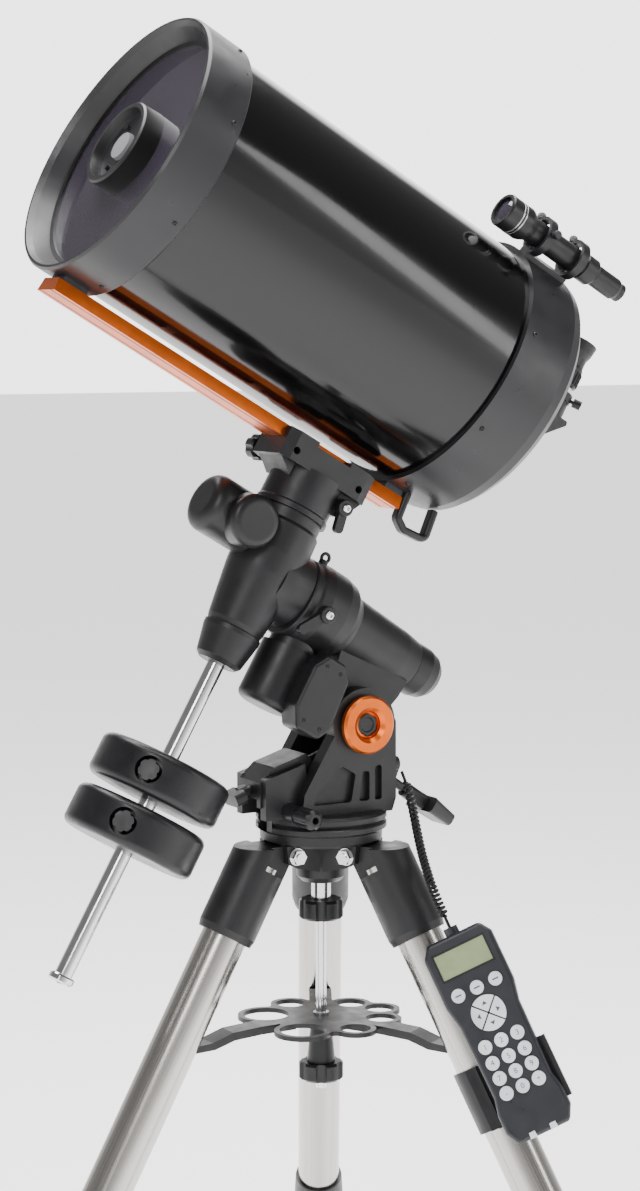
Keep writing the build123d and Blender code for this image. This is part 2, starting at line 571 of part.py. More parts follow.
# ================================================================ telescope
with BuildPart() as dovetail_rail:
    with BuildSketch(Plane.XY.offset(RAIL_REAR)):
        with BuildLine():
            Polyline(
                (RAIL_BOTTOM, -RAIL_HALF_BOTTOM), (RAIL_BOTTOM, RAIL_HALF_BOTTOM),
                (RAIL_TOP, RAIL_HALF_TOP),
                (RAIL_TOP, -RAIL_HALF_TOP), close=True,
            )
        make_face()
    extrude(amount=RAIL_FRONT - RAIL_REAR)
    for start, end in ((RAIL_REAR + 38, 100), (114, 226), (240, 330)):
        block((RAIL_TOP - 7, RAIL_TOP), (-9, 9), (start, end), mode=Mode.SUBTRACT)
    for edge in (1, -1):
        block((RAIL_BOTTOM, RAIL_BOTTOM + 1.2), (edge * 13 - 1.5, edge * 13 + 1.5), (RAIL_REAR, RAIL_FRONT),
              mode=Mode.SUBTRACT)
finish(dovetail_rail, "dovetail_rail", TUBE)

SEAT_R = OPTICS_R + 3  # edge of the corrector
with BuildPart() as front_cell:
    turn(
        (SHELL_R + FIT, CELL_BACK), (CELL_R - 2, CELL_BACK), (CELL_R, CELL_BACK + 2),
        (CELL_R, CELL_FRONT - 3),
        (CELL_R - 2, CELL_FRONT), (CELL_R - 5, CELL_FRONT), (151, CELL_FRONT - 6),
        (SEAT_R + 2, CORRECTOR_FRONT + 3),
        (OPTICS_R, CORRECTOR_FRONT + 2), (OPTICS_R, CORRECTOR_FRONT), (SEAT_R + FIT, CORRECTOR_FRONT),
        (SEAT_R + FIT, CORRECTOR_BACK), (OPTICS_R, CORRECTOR_BACK), (OPTICS_R, CORRECTOR_BACK - 6),
        (SHELL_R + FIT, CORRECTOR_BACK - 6),
    )
    block((RAIL_TOP, -156), (-16, 16), (346, 378))
finish(front_cell, "front_cell", TUBE)

SECONDARY_R = 40.0
with BuildPart() as corrector_plate:
    turn((SECONDARY_R + FIT, CORRECTOR_BACK), (SEAT_R, CORRECTOR_BACK), (SEAT_R, CORRECTOR_FRONT),
         (SECONDARY_R + FIT, CORRECTOR_FRONT))
finish(corrector_plate, "corrector_plate", TUBE)

with BuildPart() as secondary_cell:
    turn(
        (0, CORRECTOR_BACK - 20), (36, CORRECTOR_BACK - 20), (36, CORRECTOR_BACK - 6),
        (46, CORRECTOR_BACK - 6),
        (46, CORRECTOR_BACK), (SECONDARY_R, CORRECTOR_BACK), (SECONDARY_R, CORRECTOR_FRONT),
        (52, CORRECTOR_FRONT), (51, 391), (49, 393), (44, 393), (41, 380), (17, 380), (16, 386), (0, 387),
    )
    with PolarLocations(29, 3, start_angle=30):
        with Locations((0, 0, 380)):
            Cylinder(3, 4, align=UP)
finish(secondary_cell, "secondary_cell", TUBE)

TUBE_FRONT = CORRECTOR_BACK - 6
with BuildPart() as optical_tube:
    with Locations((0, 0, REAR_FRONT - 24)):
        Cylinder(SHELL_R, TUBE_FRONT - REAR_FRONT + 24, align=UP)
        Cylinder(SHELL_R - SHELL_WALL, TUBE_FRONT - REAR_FRONT + 24, align=UP, mode=Mode.SUBTRACT)
finish(optical_tube, "optical_tube", TUBE)

BAFFLE_R = 25.0
REAR_OUTSIDE = (
    (CELL_R - 1, REAR_FRONT), (CELL_R - 1, REAR_EDGE), (CELL_R - 4, REAR_EDGE - 12), (146, REAR_EDGE - 22),
    (130, REAR_EDGE - 29), (60, REAR_EDGE - 33), (58, REAR_BACK), (40, REAR_BACK), (40, REAR_BACK - 10),
)
FOCUSER_PLACE = (-30.0, 92.0)
with BuildPart() as rear_cell:
    turn(
        (SHELL_R + FIT, REAR_FRONT - 24), (SHELL_R + FIT, REAR_FRONT), *REAR_OUTSIDE, (26, REAR_BACK - 10),
        (26, REAR_BACK - 34), (16, REAR_BACK - 34), (16, REAR_BACK - 4), (BAFFLE_R + FIT, REAR_BACK - 4),
        (BAFFLE_R + FIT, -172), (120, -170), (140, -162), (148, REAR_EDGE), (148, REAR_FRONT - 24),
    )
    block((RAIL_TOP, -155.5), (-16, 16), (RAIL_REAR, REAR_FRONT - 2))
    with Locations((FOCUSER_PLACE[0], FOCUSER_PLACE[1], -184)):
        Cylinder(16, 12, align=UP)
        Cylinder(4 + RUN, 24, align=UP, mode=Mode.SUBTRACT)
    with Locations((0, 0, REAR_BACK - 22)):
        with PolarLocations(25, 2, start_angle=40):
            with Locations(Location((0, 0, 0), (0, 90, 0))):
                Cylinder(4, 12, align=UP)
finish(rear_cell, "rear_cell", TUBE)

with BuildPart() as primary_mirror:
    turn((BAFFLE_R + 7, -158), (BAFFLE_R + RUN, -158), (BAFFLE_R + RUN, -118), (BAFFLE_R + 7, -118),
         (BAFFLE_R + 7, -148), (132, -140), (140, -140), (140, -150), (120, -158))
finish(primary_mirror, "primary_mirror", TUBE)

with BuildPart() as baffle_tube:
    turn((BAFFLE_R, REAR_BACK - 4), (BAFFLE_R, 90), (BAFFLE_R - 1.5, 90), (BAFFLE_R - 1.5, REAR_BACK - 4))
finish(baffle_tube, "baffle_tube", TUBE)

with BuildPart() as focus_knob:
    with Locations((FOCUSER_PLACE[0], FOCUSER_PLACE[1], -184 - GAP)):
        Cylinder(4, 20, align=UP)
        Cylinder(15, 26, align=DOWN)
    fillet(focus_knob.faces().sort_by(Axis.Z)[0].edges(), 2)
    with Locations((FOCUSER_PLACE[0], FOCUSER_PLACE[1], -184)):
        with PolarLocations(15.6, 16):
            Cylinder(1.4, 24, align=DOWN, mode=Mode.SUBTRACT)
finish(focus_knob, "focus_knob", TUBE)

EYEPIECE_R = 15.85
with BuildPart() as star_diagonal:
    with Locations((0, 0, REAR_BACK - 36)):
        Cylinder(EYEPIECE_R - 0.15, 26, align=UP)
    plate(Plane.XZ, ((-21, DIAGONAL_Z + 28), (21, DIAGONAL_Z + 28), (21, DIAGONAL_Z - 20),
          (16, DIAGONAL_Z - 21),
          (-21, DIAGONAL_Z + 15)), 20, both=True, corner=2)
    rod(19.5, (15, 0, DIAGONAL_Z), (52, 0, DIAGONAL_Z))
    rod(21, (42, 0, DIAGONAL_Z), (52, 0, DIAGONAL_Z))
    for turned in (-60, 60):
        aim = Vector(0, -1, 0).rotate(Axis.X, turned)
        start = Vector(47, 0, DIAGONAL_Z) + aim * 19
        rod(2.2, start, start + aim * 9)
        rod(5.5, start + aim * 5, start + aim * 15)
    rod(EYEPIECE_R + 0.15, (21, 0, DIAGONAL_Z), (60, 0, DIAGONAL_Z), mode=Mode.SUBTRACT)
finish(star_diagonal, "star_diagonal", TUBE)

EYEPIECE = Plane(origin=(0, 0, DIAGONAL_Z), x_dir=(0, 0, 1), z_dir=(1, 0, 0))
with BuildPart() as eyepiece:
    turn((12, 24), (EYEPIECE_R, 24), (EYEPIECE_R, 52 + GAP), (17, 52 + GAP), (17, 60), (19.5, 62),
         (19.5, 84),
         (18, 88), (18, 98), (21, 106), (23, 118), (21, 118), (17, 106), (14, 100), (0, 98),
         (0, 40), (12, 38))
finish(eyepiece, "eyepiece", Plane(TUBE.location * EYEPIECE.location))

# ---------------------------------------------------------------- finder, along the tube
finder_lean = Vector(cos(radians(FINDER_ANGLE)), -sin(radians(FINDER_ANGLE)), 0)
FINDER = Plane(TUBE.location * Plane(origin=finder_lean * FINDER_DISTANCE, x_dir=finder_lean).location)
with BuildPart() as finder_scope:
    turn((0, -30), (16, -30), (16, -26), (19.5, -26), (20.5, -28), (20.5, -58), (19.5, -61),
         (17, -66), (15, -70),
         (15, -150), (16.5, -152), (16.5, -168), (13, -172), (13, -206), (11, -210), (11, -216), (0, -216))
finish(finder_scope, "finder_scope", FINDER)

with BuildPart() as finder_bracket:
    for start, end, angles in ((-92, -82, (60, 300)), (-144, -134, (60,))):
        turn((19.5, start), (19.5, end), (24, end), (24, start))
        middle = Vector(0, 0, (start + end) / 2)
        for screw_angle in angles:
            aim = Vector(cos(radians(screw_angle)), sin(radians(screw_angle)), 0)
            rod(2, middle + aim * (15 + FIT), middle + aim * 29)
            rod(4.5, middle + aim * 27, middle + aim * 35)
        block((-24, -18.5), (-9, 9), (start, end))
    block((-29, -22.5), (-10, 10), (-144, -82))
    rod(2.5, (-20, 0, -87), (-15 - FIT, 0, -87))
    rod(2.5, (-20, 0, -139), (-15 - FIT, 0, -139))
    with Locations((-FINDER_DISTANCE, 0, -200)):
        Cylinder(CELL_R - 1 + FIT, 200, align=UP, mode=Mode.SUBTRACT)
finish(finder_bracket, "finder_bracket", FINDER)

HANDLE_Y = -14.0
with BuildPart() as carry_handle:
    with BuildLine(Plane.XZ.offset(-HANDLE_Y)):
        FilletPolyline((-150, -116), (-188, -119), (-196, -132), (-193, -163), (-150, -158), radius=7)
    with BuildSketch(Plane(origin=(-150, HANDLE_Y, -116), z_dir=(-38, 0, -3))):
        SlotOverall(16, 9, rotation=90)
    sweep()
    with Locations((0, 0, -300)):
        Cylinder(CELL_R - 1 + FIT, 300, align=UP, mode=Mode.SUBTRACT)
finish(carry_handle, "carry_handle", TUBE)

# ================================================================ hand control, on the right leg
KEY_ROWS = (-8.0, -26.0, -43.0, -60.0)
KEY_PLACES = [(x, 52, 0) for x in (-22, 0, 22)] + [(x, y, 0) for x in (-19, 0, 19) for y in KEY_ROWS]
with BuildPart() as handset_shell:
    with BuildSketch() as hand_outline:
        with BuildLine():
            Polyline(
                (-31, 113), (31, 113), (40, 100), (40, 44), (35, 20), (34, -60), (38, -78), (38, -98),
                (30, -113), (-30, -113), (-38, -98), (-38, -78), (-34, -60), (-35, 20), (-40, 44),
                (-40, 100), close=True,
            )
        make_face()
        fillet(hand_outline.vertices(), 6)
    extrude(amount=HAND_DEPTH)
    fillet(handset_shell.faces().sort_by(Axis.Z)[-1].edges(), 4)
    fillet(handset_shell.faces().sort_by(Axis.Z)[0].edges(), 3)
    with Locations(Plane(origin=(0, 112, HAND_DEPTH / 2), z_dir=(0, 1, 0))):
        Cylinder(8, 9, align=UP)
    block((-29, 29), (72, 99), (HAND_DEPTH - 1.5, HAND_DEPTH + 1), mode=Mode.SUBTRACT)
    with Locations((0, 0, HAND_DEPTH - 4)):
        with Locations(*KEY_PLACES):
            Cylinder(7.5 + RUN, 10, align=UP, mode=Mode.SUBTRACT)
        with Locations((0, 23, 0)):
            Cylinder(19 + RUN, 10, align=UP, mode=Mode.SUBTRACT)
finish(handset_shell, "handset_shell", HAND)
with BuildPart() as display_window:
    block((-29 + FIT, 29 - FIT), (72 + FIT, 99 - FIT), (HAND_DEPTH - 1.5, HAND_DEPTH - 0.3))
finish(display_window, "display_window", HAND)

with BuildPart() as round_keys:
    with Locations((0, 0, HAND_DEPTH - 2.6)):
        with Locations(*KEY_PLACES):
            Cylinder(7.5, 4.6, align=UP)
    fillet(round_keys.faces().filter_by(Axis.Z).group_by(Axis.Z)[-1].edges(), 1)
finish_group([key.moved(HAND.location) for key in round_keys.part.solids()], "round_keys")

with BuildPart() as arrow_keys:
    with Locations((0, 23, HAND_DEPTH - 2.6)):
        Cylinder(19, 4.6, align=UP)
    fillet(arrow_keys.faces().sort_by(Axis.Z)[-1].edges(), 1)
    with Locations(*[Location((0, 23, HAND_DEPTH), (0, 0, turned)) for turned in (45, -45)]):
        Box(50, 1.6, 20, mode=Mode.SUBTRACT)
finish_group([key.moved(HAND.location) for key in arrow_keys.part.solids()], "arrow_keys")

with BuildPart() as handset_holder:
    turn((LEG_TUBE_R + FIT, 262), (30, 262), (30, 330), (LEG_TUBE_R + FIT, 330))
    with Locations(Location((0, 0, 0), (0, 0, HAND_TURN))):
        back = HAND_PLACE[2] - FIT
        block((27, back), (-64, 14), (262, 330))
        block((back - 5, back), (-81, 5), (262, 330))
        block((back - 5, back + 16), (-81, -76.4), (262, 330))
        block((back - 5, back + 16), (0.4, 5), (262, 330))
    Cylinder(LEG_TUBE_R + FIT, 800, align=UP, mode=Mode.SUBTRACT)
finish(handset_holder, "handset_holder", LEGS["right"])

cord_end = [HAND.from_local_coords((0, 121 + above, HAND_DEPTH / 2)) for above in (38, FIT)]
route = [Vector(*point) for point in CORD_ROUTE] + cord_end
runs = [b - a for a, b in zip(route, route[1:])]
bends = []
for before, after in zip(runs, runs[1:]):
    half_turn = radians(before.get_angle(after) / 2)
    bends.append(0.45 * min(before.length, after.length) * cos(half_turn) / sin(half_turn))
with BuildPart() as handset_cord:
    with BuildLine() as cord_line:
        FilletPolyline(*route, radius=min(bends))
    with BuildSketch(Plane(origin=route[0], z_dir=runs[0])):
        Circle(CORD_R)
    sweep()
finish(handset_cord, "handset_cord")
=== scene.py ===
"""Looks, light and camera for the Schmidt-Cassegrain telescope on its equatorial mount."""

import json
from math import cos, pi, radians, sin

import bpy
import bmesh
from mathutils import Matrix, Vector


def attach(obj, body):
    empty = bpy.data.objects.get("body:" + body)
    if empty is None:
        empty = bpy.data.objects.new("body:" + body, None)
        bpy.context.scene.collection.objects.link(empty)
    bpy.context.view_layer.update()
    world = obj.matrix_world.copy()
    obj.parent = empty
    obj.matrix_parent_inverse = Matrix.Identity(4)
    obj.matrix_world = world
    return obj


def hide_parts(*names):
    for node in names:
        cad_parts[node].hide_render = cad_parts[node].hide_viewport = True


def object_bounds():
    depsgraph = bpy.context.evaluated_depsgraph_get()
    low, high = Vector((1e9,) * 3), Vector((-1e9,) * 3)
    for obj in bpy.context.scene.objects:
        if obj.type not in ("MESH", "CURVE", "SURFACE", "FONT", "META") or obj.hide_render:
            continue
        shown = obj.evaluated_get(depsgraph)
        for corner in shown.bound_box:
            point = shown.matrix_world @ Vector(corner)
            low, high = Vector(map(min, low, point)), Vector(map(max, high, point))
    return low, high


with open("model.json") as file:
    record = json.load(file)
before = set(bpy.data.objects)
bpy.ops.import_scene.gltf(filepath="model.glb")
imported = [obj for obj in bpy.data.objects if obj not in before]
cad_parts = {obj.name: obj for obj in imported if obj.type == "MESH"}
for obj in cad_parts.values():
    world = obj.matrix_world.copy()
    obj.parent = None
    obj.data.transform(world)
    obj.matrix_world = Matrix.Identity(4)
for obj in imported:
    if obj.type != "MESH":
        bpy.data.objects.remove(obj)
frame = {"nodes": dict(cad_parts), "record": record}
cad_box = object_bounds()
scene = bpy.context.scene

# ---------------------------------------------------------------- frames of the CAD, in metres
LATITUDE, LEG_SPLAY = radians(30), radians(29)
POLAR = Vector((-cos(LATITUDE), 0, sin(LATITUDE)))  # the polar axis, and the tube's axis at rest
DECLINATION = Vector((sin(LATITUDE), 0, cos(LATITUDE)))
AXES_CROSS = Vector((-0.080, 0, 0.998))
LEG_ANGLES = {"north": 180, "right": -60, "rear": 60}


def frame_matrix(origin, x_axis, z_axis):
    """The matrix of a right-handed frame with this origin, X axis and Z axis."""
    y_axis = z_axis.cross(x_axis)
    axes = Matrix((x_axis, y_axis, z_axis)).transposed().to_4x4()
    return Matrix.Translation(origin) @ axes


HEAD = frame_matrix(AXES_CROSS, DECLINATION, POLAR)
TUBE = frame_matrix(AXES_CROSS + 0.325 * DECLINATION, DECLINATION, POLAR)
LEGS = {}
for leg_name, degrees_round in LEG_ANGLES.items():
    out = Vector((cos(radians(degrees_round)), sin(radians(degrees_round)), 0))
    across = cos(LEG_SPLAY) * out + Vector((0, 0, sin(LEG_SPLAY)))
    down = sin(LEG_SPLAY) * out - Vector((0, 0, cos(LEG_SPLAY)))
    LEGS[leg_name] = frame_matrix(0.070 * out + Vector((0, 0, 0.700)), across, down)

# ---------------------------------------------------------------- camera
CAMERA_TURN = radians(30.5)
CAMERA_DISTANCE, CAMERA_HEIGHT = 3.0, 1.2827
camera_data = bpy.data.cameras.new("camera")
camera_data.sensor_width = 36  # across the frame's long side, which is its height
camera_data.lens = 80.34
camera_data.shift_y = -0.2309
camera_data.shift_x = -0.0009
camera_data.clip_end = 100
camera = bpy.data.objects.new("camera", camera_data)
camera.location = (
    -CAMERA_DISTANCE * sin(CAMERA_TURN), -CAMERA_DISTANCE * cos(CAMERA_TURN), CAMERA_HEIGHT
)
camera.rotation_euler = (pi / 2, 0, -CAMERA_TURN)
scene.collection.objects.link(camera)
scene.camera = camera

# ---------------------------------------------------------------- the hand control's curly cord
CORD_ROUTE = (
    (0.084, -0.037, 0.772), (0.089, -0.046, 0.75), (0.078, -0.075, 0.722), (0.064, -0.112, 0.69),
    (0.05149, -0.15591, 0.6577), (0.06068, -0.17184, 0.62452),
)
WIRE, COIL_R = 0.0036, 0.0037
LEAD = 0.011  # straight cord at each end of the coil
STEPS_PER_TURN = 16


def nurbs_line(name, points):
    """A smooth open curve with these points as its control points."""
    curve = bpy.data.curves.new(name, "CURVE")
    curve.dimensions = "3D"
    curve.resolution_u = 24
    spline = curve.splines.new("NURBS")
    spline.points.add(len(points) - 1)
    for knot, point in zip(spline.points, points):
        knot.co = (*point, 1)
    spline.order_u = 3
    spline.use_endpoint_u = True
    line = bpy.data.objects.new(name, curve)
    scene.collection.objects.link(line)
    return line


def sampled(line):
    """The points of a curve with no bevel."""
    mesh = bpy.data.meshes.new_from_object(line)
    points = [v.co.copy() for v in mesh.vertices]
    bpy.data.meshes.remove(mesh)
    return points


route = nurbs_line("cord_route", CORD_ROUTE)
path = sampled(route)
bpy.data.objects.remove(route)
lengths = [0.0]
for a, b in zip(path, path[1:]):
    lengths.append(lengths[-1] + (b - a).length)
path_length = lengths[-1]


def along(distance):
    """The point and direction at this distance along the cord's route."""
    for i in range(1, len(path)):
        if lengths[i] >= distance or i == len(path) - 1:
            step = path[i] - path[i - 1]
            t = (distance - lengths[i - 1]) / (lengths[i] - lengths[i - 1])
            return path[i - 1] + step * t, step.normalized()


coil = [path[0].copy()]
turn, distance = 0.0, 0.004
while distance < path_length - 0.004:
    point, heading = along(distance)
    side = heading.cross(Vector((0.3, 0.9, 0.1))).normalized()
    to_lead = min(distance, path_length - distance) - LEAD
    swell = min(1, max(0, to_lead) / 0.005)
    coil.append(
        point + COIL_R * swell * (cos(turn) * side + sin(turn) * heading.cross(side))
    )
    pitch = 0.0064 - 0.0016 * distance / path_length
    turn += 2 * pi / STEPS_PER_TURN
    distance += pitch / STEPS_PER_TURN
coil.append(path[-1].copy())
wire = nurbs_line("wire", coil)
wire.data.resolution_u = 2
coil_path = sampled(wire)
wire.data.bevel_depth = WIRE / 2
wire.data.bevel_resolution = 3
wire.data.use_fill_caps = True
cord = bpy.data.objects.new("handset_curly_cord", bpy.data.meshes.new_from_object(wire))
scene.collection.objects.link(cord)
bpy.data.objects.remove(wire)
cord.data.polygons.foreach_set("use_smooth", [True] * len(cord.data.polygons))
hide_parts("handset_cord")
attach(cord, "tripod")


# ---------------------------------------------------------------- materials
class Surface:
    """A node material with short calls for the patterns used here."""

    def __init__(self, name, color, roughness, metallic=0.0, **sockets):
        self.material = bpy.data.materials.new(name)
        self.material.use_nodes = True
        self.nodes, self.links = self.material.node_tree.nodes, self.material.node_tree.links
        self.shader = self.nodes["Principled BSDF"]
        self.shader.inputs["Base Color"].default_value = (*color, 1)
        self.shader.inputs["Roughness"].default_value = roughness
        self.shader.inputs["Metallic"].default_value = metallic
        for socket, value in sockets.items():
            self.shader.inputs[socket.replace("_", " ")].default_value = value
        self.color = color
        self.where = self.nodes.new("ShaderNodeTexCoord").outputs["Object"]

    def distance_from_axis(self, place):
        """Metres from the Z axis of a frame."""
        turned = place.to_3x3().transposed()
        node = self.nodes.new("ShaderNodeMapping")
        node.inputs["Rotation"].default_value = turned.to_euler()
        node.inputs["Location"].default_value = -(turned @ place.translation)
        self.links.new(self.where, node.inputs["Vector"])
        flat = self.nodes.new("ShaderNodeVectorMath")
        flat.operation = "MULTIPLY"
        flat.inputs[1].default_value = (1, 1, 0)
        self.links.new(node.outputs["Vector"], flat.inputs[0])
        length = self.nodes.new("ShaderNodeVectorMath")
        length.operation = "LENGTH"
        self.links.new(flat.outputs["Vector"], length.inputs[0])
        return length.outputs["Value"]

    def rings(self, place, bands, reach):
        """Base colour by distance from an axis: each band is (inner radius, colour)."""
        scaled = self.nodes.new("ShaderNodeMath")
        scaled.operation = "DIVIDE"
        scaled.inputs[1].default_value = reach
        self.links.new(self.distance_from_axis(place), scaled.inputs[0])
        node = self.nodes.new("ShaderNodeValToRGB")
        node.color_ramp.interpolation = "CONSTANT"
        for _ in bands[2:]:
            node.color_ramp.elements.new(0.5)
        for element, (radius, color) in zip(node.color_ramp.elements, bands):
            element.position, element.color = radius / reach, (*color, 1)
        self.links.new(scaled.outputs[0], node.inputs["Fac"])
        self.links.new(node.outputs["Color"], self.shader.inputs["Base Color"])
        return scaled.outputs[0]

    def stretched(self, place, across, along):
        """Coordinates in a frame, finer across its Z axis than along it."""
        node = self.nodes.new("ShaderNodeMapping")
        node.vector_type = "TEXTURE"
        node.inputs["Rotation"].default_value = place.to_euler()
        node.inputs["Scale"].default_value = (1 / across, 1 / across, 1 / along)
        self.links.new(self.where, node.inputs["Vector"])
        return node.outputs["Vector"]

    def noise(self, scale, detail=3.0, place=None):
        node = self.nodes.new("ShaderNodeTexNoise")
        node.inputs["Scale"].default_value = scale
        node.inputs["Detail"].default_value = detail
        self.links.new(place or self.where, node.inputs["Vector"])
        return node.outputs["Fac"]

    def ramp(self, value, low, high, stops=(0.3, 0.7)):
        """Colours from low to high as value goes between the stops."""
        node = self.nodes.new("ShaderNodeValToRGB")
        for element, color, stop in zip(node.color_ramp.elements, (low, high), stops):
            element.color, element.position = (*color, 1), stop
        self.links.new(value, node.inputs["Fac"])
        return node.outputs["Color"]

    def spread(self, value, low, high):
        """A number from low to high as value goes from 0.3 to 0.7."""
        node = self.nodes.new("ShaderNodeMapRange")
        for socket, number in zip(("From Min", "From Max", "To Min", "To Max"), (0.3, 0.7, low, high)):
            node.inputs[socket].default_value = number
        self.links.new(value, node.inputs["Value"])
        return node.outputs["Result"]

    def mottle(self, value, low, high):
        """Shades the base colour between two multiples of it."""
        tone = self.ramp(value, [c * low for c in self.color], [c * high for c in self.color])
        self.links.new(tone, self.shader.inputs["Base Color"])

    def rough(self, value, low, high):
        self.links.new(self.spread(value, low, high), self.shader.inputs["Roughness"])

    def bump(self, value, height, strength=1.0):
        node = self.nodes.new("ShaderNodeBump")
        node.inputs["Strength"].default_value = strength
        node.inputs["Distance"].default_value = height
        self.links.new(value, node.inputs["Height"])
        self.links.new(node.outputs["Normal"], self.shader.inputs["Normal"])


def textured(name, color, roughness, grain, height, metallic=0.0, **sockets):
    """A painted or moulded surface with a fine grain and a faint mottle."""
    surface = Surface(name, color, roughness, metallic, **sockets)
    surface.mottle(surface.noise(18, 4), 0.85, 1.2)
    surface.rough(surface.noise(60, 3), roughness - 0.07, roughness + 0.07)
    surface.bump(surface.noise(grain, 2), height)
    return surface.material


casting = textured("casting_black", (0.0095, 0.0095, 0.0105), 0.40, 1400, 0.00012, Specular_IOR_Level=0.38)
plastic = textured("plastic_black", (0.009, 0.009, 0.010), 0.38, 2200, 0.00005, Specular_IOR_Level=0.36)
iron = textured("iron_black", (0.008, 0.008, 0.009), 0.34, 1100, 0.00008, Specular_IOR_Level=0.36)
rubber = textured("rubber_black", (0.006, 0.006, 0.006), 0.55, 900, 0.00008, Specular_IOR_Level=0.3)
keys = textured("keys_grey", (0.66, 0.67, 0.70), 0.5, 1500, 0.00004)
legend_ink = textured("legend_ink", (0.05, 0.06, 0.08), 0.5, 1500, 0.00002)
shell_plastic = textured("hand_control_blue_black", (0.010, 0.011, 0.015), 0.34, 2400, 0.00005)
silver = textured("machined_silver", (0.42, 0.42, 0.43), 0.3, 1200, 0.00003, 0.9)

cell_surface = Surface("cell_satin", (0.02, 0.02, 0.022), 0.34, Specular_IOR_Level=0.42)
cell_surface.rings(TUBE, [(0.0, (0.004, 0.004, 0.004)), (0.1435, (0.0125, 0.0125, 0.014))], 0.25)
cell_surface.rough(cell_surface.noise(40, 4), 0.27, 0.40)
cell_surface.bump(cell_surface.noise(1800, 2), 0.00005)
cell_paint = cell_surface.material

secondary_surface = Surface("secondary_holder", (0.02, 0.02, 0.02), 0.36)
secondary_surface.rings(
    TUBE, [(0.0, (0.20, 0.20, 0.21)), (0.0165, (0.014, 0.014, 0.016)), (0.0415, (0.006, 0.006, 0.006))], 0.1
)
secondary_surface.bump(secondary_surface.noise(1500, 2), 0.00004)

tube_gloss = Surface(
    "tube_gloss_black", (0.0015, 0.0014, 0.0015), 0.12, Coat_Weight=0.15, Coat_Roughness=0.05,
    Specular_IOR_Level=0.38,
)
tube_gloss.rough(tube_gloss.noise(7, 4), 0.10, 0.19)
tube_gloss.bump(tube_gloss.noise(160, 2), 0.00003)

orange = Surface("anodised_orange", (0.66, 0.125, 0.012), 0.30, 0.85)
orange.mottle(orange.noise(25, 5), 0.82, 1.12)
orange.bump(orange.noise(2600, 2), 0.00003)

chrome = Surface("chrome", (0.70, 0.70, 0.71), 0.12, 1.0)
chrome.rough(chrome.noise(90, 4), 0.08, 0.2)

corrector_glass = Surface(
    "corrector_glass", (0.030, 0.024, 0.036), 0.06, Transmission_Weight=0.12, IOR=1.5, Coat_Weight=0.3
)
corrector_glass.mottle(corrector_glass.noise(4, 3), 0.9, 1.1)
mirror = Surface("mirror", (0.9, 0.9, 0.92), 0.03, 1.0)
mirror.rough(mirror.noise(5, 2), 0.02, 0.05)
screen = Surface("display_green", (0.24, 0.30, 0.15), 0.25, Coat_Weight=0.8)
screen.mottle(screen.noise(30, 3), 0.85, 1.1)


def brushed(name, matrix):
    """Stainless steel polished lengthways along a leg."""
    surface = Surface(name, (0.50, 0.475, 0.445), 0.22, 1.0)
    fine = surface.noise(1, 3, surface.stretched(matrix, 700, 4))
    surface.mottle(surface.noise(1, 2, surface.stretched(matrix, 90, 1.5)), 0.86, 1.08)
    surface.rough(fine, 0.17, 0.30)
    surface.bump(fine, 0.000012, 0.5)
    return surface.material


steel = {name: brushed(f"stainless_{name}", matrix) for name, matrix in LEGS.items()}

FINISH = {
    "black_casting": casting, "black_plastic": plastic, "chromed_steel": chrome.material,
    "orange_anodised": orange.material, "gloss_black_tube": tube_gloss.material,
    "black_iron": iron, "black_rubber": rubber, "grey_rubber_keys": keys,
    "coated_glass": corrector_glass.material, "mirror_glass": mirror.material,
    "green_display": screen.material, "bright_steel": steel["north"],
}
SPECIAL = {
    "front_cell": cell_paint, "rear_cell": cell_paint, "secondary_cell": secondary_surface.material,
    "handset_shell": shell_plastic,
}
for leg_name in LEGS:
    SPECIAL[f"leg_extension_{leg_name}"] = steel[leg_name]
cord.data.materials.append(rubber)
slots = {entry["node"]: entry["material_slot"] for entry in frame["record"]["subparts"]}
for node_name, slot_name in slots.items():
    node_object = bpy.data.objects.get(node_name)
    for material_slot in node_object.material_slots:
        material_slot.material = SPECIAL.get(node_name, FINISH[slot_name])

# ---------------------------------------------------------------- tools for the small pieces
def hexagon(turned):
    """Distance from a hexagon's centre to its edge, for a corner radius of 1."""
    return cos(pi / 6) / cos((turned + pi / 6) % (pi / 3) - pi / 6)


def knurled(turned):
    """A knurled rim of 24 ridges."""
    return 1 + 0.045 * cos(24 * turned)


def lathe(shape, place, outline, steps=72):
    """Revolves (radius, height[, form of the ring]) points about the Z axis of a place."""
    rings = []
    for radius, height, *form in outline:
        turns = [2 * pi * i / steps for i in range(steps)] if radius else [0]
        reach = [radius * (form[0](turned) if form else 1) for turned in turns]
        rings.append([
            shape.verts.new(place @ Vector((r * cos(turned), r * sin(turned), height)))
            for r, turned in zip(reach, turns)
        ])
    for low, high in zip(rings, rings[1:]):
        for i in range(steps):
            corners = (low[i % len(low)], low[(i + 1) % len(low)], high[(i + 1) % len(high)], high[i % len(high)])
            shape.faces.new(list(dict.fromkeys(corners)))


def slab(shape, place, outline, low, high, edge=0.0):
    """A plate with this (x, y) outline between two heights of a place, its top edge broken."""
    centre = sum((Vector(p) for p in outline), Vector((0, 0))) / len(outline)
    inner = [Vector(p) + (centre - Vector(p)).normalized() * edge for p in outline]
    rows = [
        [shape.verts.new(place @ Vector((*p, z))) for p in row]
        for row, z in ((outline, low), (outline, high - edge), (inner, high))
    ]
    for under, over in zip(rows, rows[1:]):
        for i in range(len(outline)):
            j = (i + 1) % len(outline)
            shape.faces.new((under[i], under[j], over[j], over[i]))
    shape.faces.new(rows[-1])
    shape.faces.new(rows[0][::-1])


